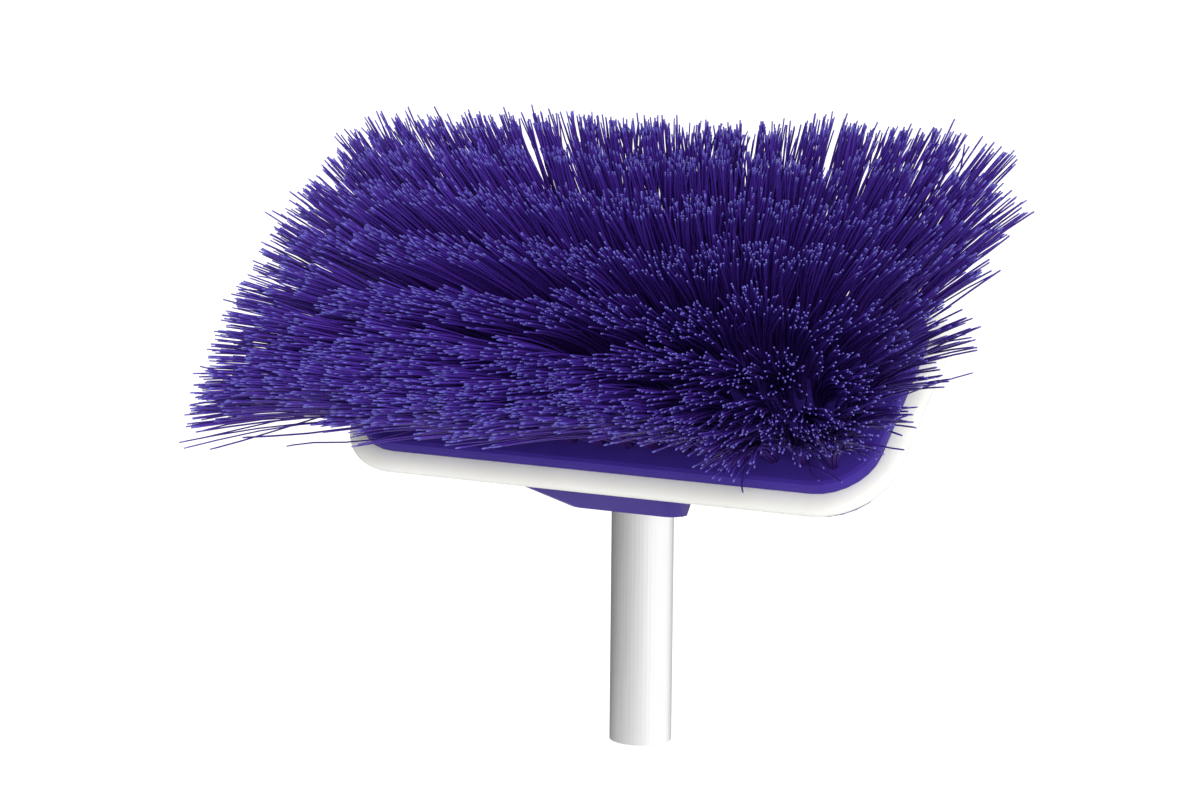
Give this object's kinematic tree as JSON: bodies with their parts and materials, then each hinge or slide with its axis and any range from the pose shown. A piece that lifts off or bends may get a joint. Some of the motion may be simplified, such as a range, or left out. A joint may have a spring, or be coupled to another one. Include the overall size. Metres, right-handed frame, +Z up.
{
  "type": "pool wall brush",
  "caption": "Rectangular bristle brush head with a soft edge bumper and an angled socket on a short round handle tube that fits a pool pole.",
  "frame": {"origin": "centre of the handle tube's lower end face", "axes": "+Z up along the handle tube towards the brush, +X along the brush's long side, -Y towards the front, the side that the bristles lean over"},
  "size_m": [0.367, 0.1744, 0.2866],
  "materials": {
    "blue_plastic": "moulded polypropylene, satin gloss",
    "bristle_blue": "stiff crimp-free filament, cut tips paler",
    "white_vinyl": "soft off-white vinyl, smooth",
    "satin_aluminium": "satin anodised tube",
    "stainless_steel": "plain stainless screws"
  },
  "bodies": {
    "root": {"tuft_plate": "blue_plastic", "back_housing": "blue_plastic", "bumper": "white_vinyl", "handle_tube": "satin_aluminium", "bristles_row_1_a": "bristle_blue", "bristles_row_1_b": "bristle_blue", "bristles_row_1_c": "bristle_blue", "bristles_row_1_d": "bristle_blue", "bristles_row_1_e": "bristle_blue", "bristles_row_2_a": "bristle_blue", "bristles_row_2_b": "bristle_blue", "bristles_row_2_c": "bristle_blue", "bristles_row_2_d": "bristle_blue", "bristles_row_2_e": "bristle_blue", "bristles_row_3_a": "bristle_blue", "bristles_row_3_b": "bristle_blue", "bristles_row_3_c": "bristle_blue", "bristles_row_3_d": "bristle_blue", "bristles_row_3_e": "bristle_blue", "bristles_row_4_a": "bristle_blue", "bristles_row_4_b": "bristle_blue", "bristles_row_4_c": "bristle_blue", "bristles_row_4_d": "bristle_blue", "bristles_row_4_e": "bristle_blue", "bristles_row_5_a": "bristle_blue", "bristles_row_5_b": "bristle_blue", "bristles_row_5_c": "bristle_blue", "bristles_row_5_d": "bristle_blue", "bristles_row_5_e": "bristle_blue", "bristles_row_6_a": "bristle_blue", "bristles_row_6_b": "bristle_blue", "bristles_row_6_c": "bristle_blue", "bristles_row_6_d": "bristle_blue", "bristles_row_6_e": "bristle_blue", "bristles_row_7_a": "bristle_blue", "bristles_row_7_b": "bristle_blue", "bristles_row_7_c": "bristle_blue", "bristles_row_7_d": "bristle_blue", "bristles_row_7_e": "bristle_blue", "bristles_row_8_a": "bristle_blue", "bristles_row_8_b": "bristle_blue", "bristles_row_8_c": "bristle_blue", "bristles_row_8_d": "bristle_blue", "bristles_row_8_e": "bristle_blue", "housing_screw_1": "stainless_steel", "housing_screw_2": "stainless_steel", "housing_screw_3": "stainless_steel", "housing_screw_4": "stainless_steel", "housing_screw_5": "stainless_steel", "housing_screw_6": "stainless_steel", "handle_screw": "stainless_steel"}
  },
  "joints": []
}
